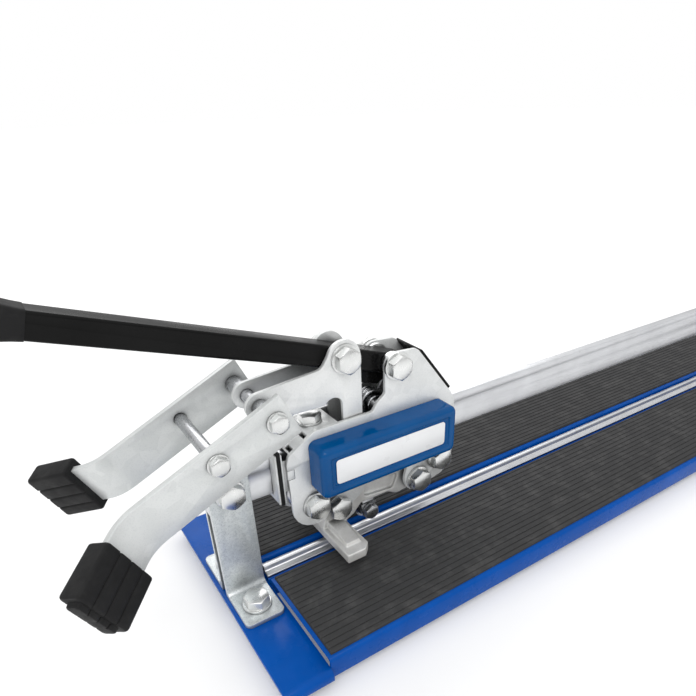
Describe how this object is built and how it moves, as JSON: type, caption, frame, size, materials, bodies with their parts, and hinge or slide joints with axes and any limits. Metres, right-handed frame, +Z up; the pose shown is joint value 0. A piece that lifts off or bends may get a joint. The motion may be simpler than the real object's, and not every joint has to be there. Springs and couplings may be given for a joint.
{
  "type": "tile cutter",
  "caption": "Manual tile cutter: a roller carriage on a single flat rail, lever handle, scoring wheel, cast breaker and a swinging breaking yoke over twin padded tables.",
  "frame": {"origin": "on the ground, under the middle of the whole cutter's box", "axes": "+X along the rail, away from the handle's end; +Y to the operator's left; +Z up"},
  "size_m": [1.4018, 0.246, 0.3405],
  "materials": {
    "blue_paint": "gloss blue powder coat",
    "rail_steel": "satin ground bar",
    "zinc_sheet": "zinc plate with a faint spangle",
    "zinc_hardware": "bright zinc",
    "bare_steel": "oiled steel",
    "tool_steel": "ground carbide",
    "cast_aluminium": "matte casting",
    "black_paint": "satin black powder coat",
    "black_plastic": "moulded",
    "rubber": "matte",
    "label": "blank white label"
  },
  "bodies": {
    "base": {"crossbar_front": "blue_paint", "crossbar_rear": "blue_paint", "centre_beam": "blue_paint", "breaking_ridge": "rail_steel", "table_right": "blue_paint", "table_left": "blue_paint", "mat_right": "rubber", "mat_left": "rubber", "rubber_feet": "rubber", "post_front_right": "zinc_sheet", "post_front_left": "zinc_sheet", "post_rear_right": "zinc_sheet", "post_rear_left": "zinc_sheet", "rail": "rail_steel", "frame_bolts": "zinc_hardware", "frame_nuts": "zinc_hardware", "fence_bar": "rail_steel"},
    "carriage": {"side_plate_right": "zinc_sheet", "side_plate_left": "zinc_sheet", "cover_right": "blue_paint", "cover_left": "blue_paint", "cover_labels": "label", "tie_plate_front": "zinc_sheet", "rear_guard": "black_paint", "adjusting_bolt": "zinc_hardware", "roller_saddles": "bare_steel", "guide_pins": "bare_steel", "roller_bolts": "zinc_hardware", "roller_nuts": "zinc_hardware", "roller_spacers": "bare_steel", "side_roller_brackets": "zinc_sheet", "wiper_plates": "zinc_sheet", "wiper_blades": "rubber", "return_spring": "bare_steel", "handle_bolt": "zinc_hardware"},
    "lower_roller_front": {"lower_roller_front": "bare_steel"},
    "lower_roller_rear": {"lower_roller_rear": "bare_steel"},
    "upper_roller_front": {"upper_roller_front": "bare_steel"},
    "upper_roller_rear": {"upper_roller_rear": "bare_steel"},
    "side_roller_right_front": {"side_roller_right_front": "bare_steel"},
    "side_roller_right_rear": {"side_roller_right_rear": "bare_steel"},
    "side_roller_left_front": {"side_roller_left_front": "bare_steel"},
    "side_roller_left_rear": {"side_roller_left_rear": "bare_steel"},
    "handle": {"handle_tube": "black_paint", "handle_grip": "rubber"},
    "links": {"link_plate_right": "zinc_sheet", "link_plate_left": "zinc_sheet", "link_bolt": "zinc_hardware"},
    "yoke": {"yoke_arm_right": "zinc_sheet", "yoke_arm_left": "zinc_sheet", "yoke_rods": "bare_steel", "yoke_bolts": "zinc_hardware", "yoke_foot_right": "rubber", "yoke_foot_left": "rubber"},
    "breaker": {"breaker": "cast_aluminium"},
    "wheel_holder": {"wheel_holder": "bare_steel"},
    "scoring_wheel": {"scoring_wheel": "tool_steel"},
    "fence_stop": {"fence_stop": "black_plastic"},
    "stop_knob": {"stop_knob": "black_plastic"}
  },
  "joints": [
    {"name": "carriage_slide", "type": "slide", "parent": "base", "child": "carriage", "axis": [1, 0, 0], "range_m": [-0.018, 0.882]},
    {"name": "handle_pivot", "type": "hinge", "parent": "carriage", "child": "handle", "pos_m": [-0.29906, 0, 0.193], "axis": [0, -1, 0], "range_deg": [0, 11], "stiffness_Nm_per_rad": 14, "springref_deg": -20.05},
    {"name": "link_pivot", "type": "hinge", "parent": "handle", "child": "links", "pos_m": [-0.34568, 0, 0.20905], "axis": [0, -1, 0], "range_deg": [-9.9, 0]},
    {"name": "breaker_pivot", "type": "hinge", "parent": "carriage", "child": "breaker", "pos_m": [-0.27506, 0, 0.0727], "axis": [0, -1, 0], "range_deg": [0, 6.5]},
    {"name": "yoke_swing", "type": "hinge", "parent": "links", "child": "yoke", "pos_m": [-0.41906, 0, 0.1892], "axis": [0, -1, 0], "range_deg": [-35, 15]},
    {"name": "wheel_holder_slide", "type": "slide", "parent": "breaker", "child": "wheel_holder", "axis": [0, 0, 1], "range_m": [0, 0.004], "stiffness_N_per_m": 4000, "springref_m": -0.002},
    {"name": "scoring_wheel_spin", "type": "hinge", "parent": "wheel_holder", "child": "scoring_wheel", "pos_m": [-0.32306, 0, 0.0492], "axis": [0, 1, 0], "continuous": true},
    {"name": "lower_roller_front_spin", "type": "hinge", "parent": "carriage", "child": "lower_roller_front", "pos_m": [-0.38306, 0, 0.088], "axis": [0, 1, 0], "continuous": true},
    {"name": "lower_roller_rear_spin", "type": "hinge", "parent": "carriage", "child": "lower_roller_rear", "pos_m": [-0.25106, 0, 0.088], "axis": [0, 1, 0], "continuous": true},
    {"name": "upper_roller_front_spin", "type": "hinge", "parent": "carriage", "child": "upper_roller_front", "pos_m": [-0.37306, 0, 0.1448], "axis": [0, 1, 0], "continuous": true},
    {"name": "upper_roller_rear_spin", "type": "hinge", "parent": "carriage", "child": "upper_roller_rear", "pos_m": [-0.26106, 0, 0.1448], "axis": [0, 1, 0], "continuous": true},
    {"name": "side_roller_right_front_spin", "type": "hinge", "parent": "carriage", "child": "side_roller_right_front", "pos_m": [-0.36706, -0.0172, 0.1215], "axis": [0, 0, 1], "continuous": true},
    {"name": "side_roller_right_rear_spin", "type": "hinge", "parent": "carriage", "child": "side_roller_right_rear", "pos_m": [-0.26706, -0.0172, 0.1215], "axis": [0, 0, 1], "continuous": true},
    {"name": "side_roller_left_front_spin", "type": "hinge", "parent": "carriage", "child": "side_roller_left_front", "pos_m": [-0.36706, 0.0172, 0.1215], "axis": [0, 0, 1], "continuous": true},
    {"name": "side_roller_left_rear_spin", "type": "hinge", "parent": "carriage", "child": "side_roller_left_rear", "pos_m": [-0.26706, 0.0172, 0.1215], "axis": [0, 0, 1], "continuous": true},
    {"name": "fence_stop_slide", "type": "slide", "parent": "base", "child": "fence_stop", "axis": [0, 1, 0], "range_m": [-0.04, 0.034]},
    {"name": "stop_knob_turn", "type": "hinge", "parent": "fence_stop", "child": "stop_knob", "pos_m": [0.63994, -0.062, 0.05], "axis": [0, 0, 1], "range_deg": [0, 270]}
  ],
  "couplings": [
    {"joint": "link_pivot", "follows": "handle_pivot", "ratio": -0.891},
    {"joint": "breaker_pivot", "follows": "handle_pivot", "ratio": 0.581},
    {"joint": "lower_roller_front_spin", "follows": "carriage_slide", "rad_per_m": -63.291},
    {"joint": "lower_roller_rear_spin", "follows": "carriage_slide", "rad_per_m": -63.291},
    {"joint": "side_roller_right_front_spin", "follows": "carriage_slide", "rad_per_m": 76.923},
    {"joint": "side_roller_right_rear_spin", "follows": "carriage_slide", "rad_per_m": 76.923},
    {"joint": "side_roller_left_front_spin", "follows": "carriage_slide", "rad_per_m": -76.923},
    {"joint": "side_roller_left_rear_spin", "follows": "carriage_slide", "rad_per_m": -76.923}
  ]
}
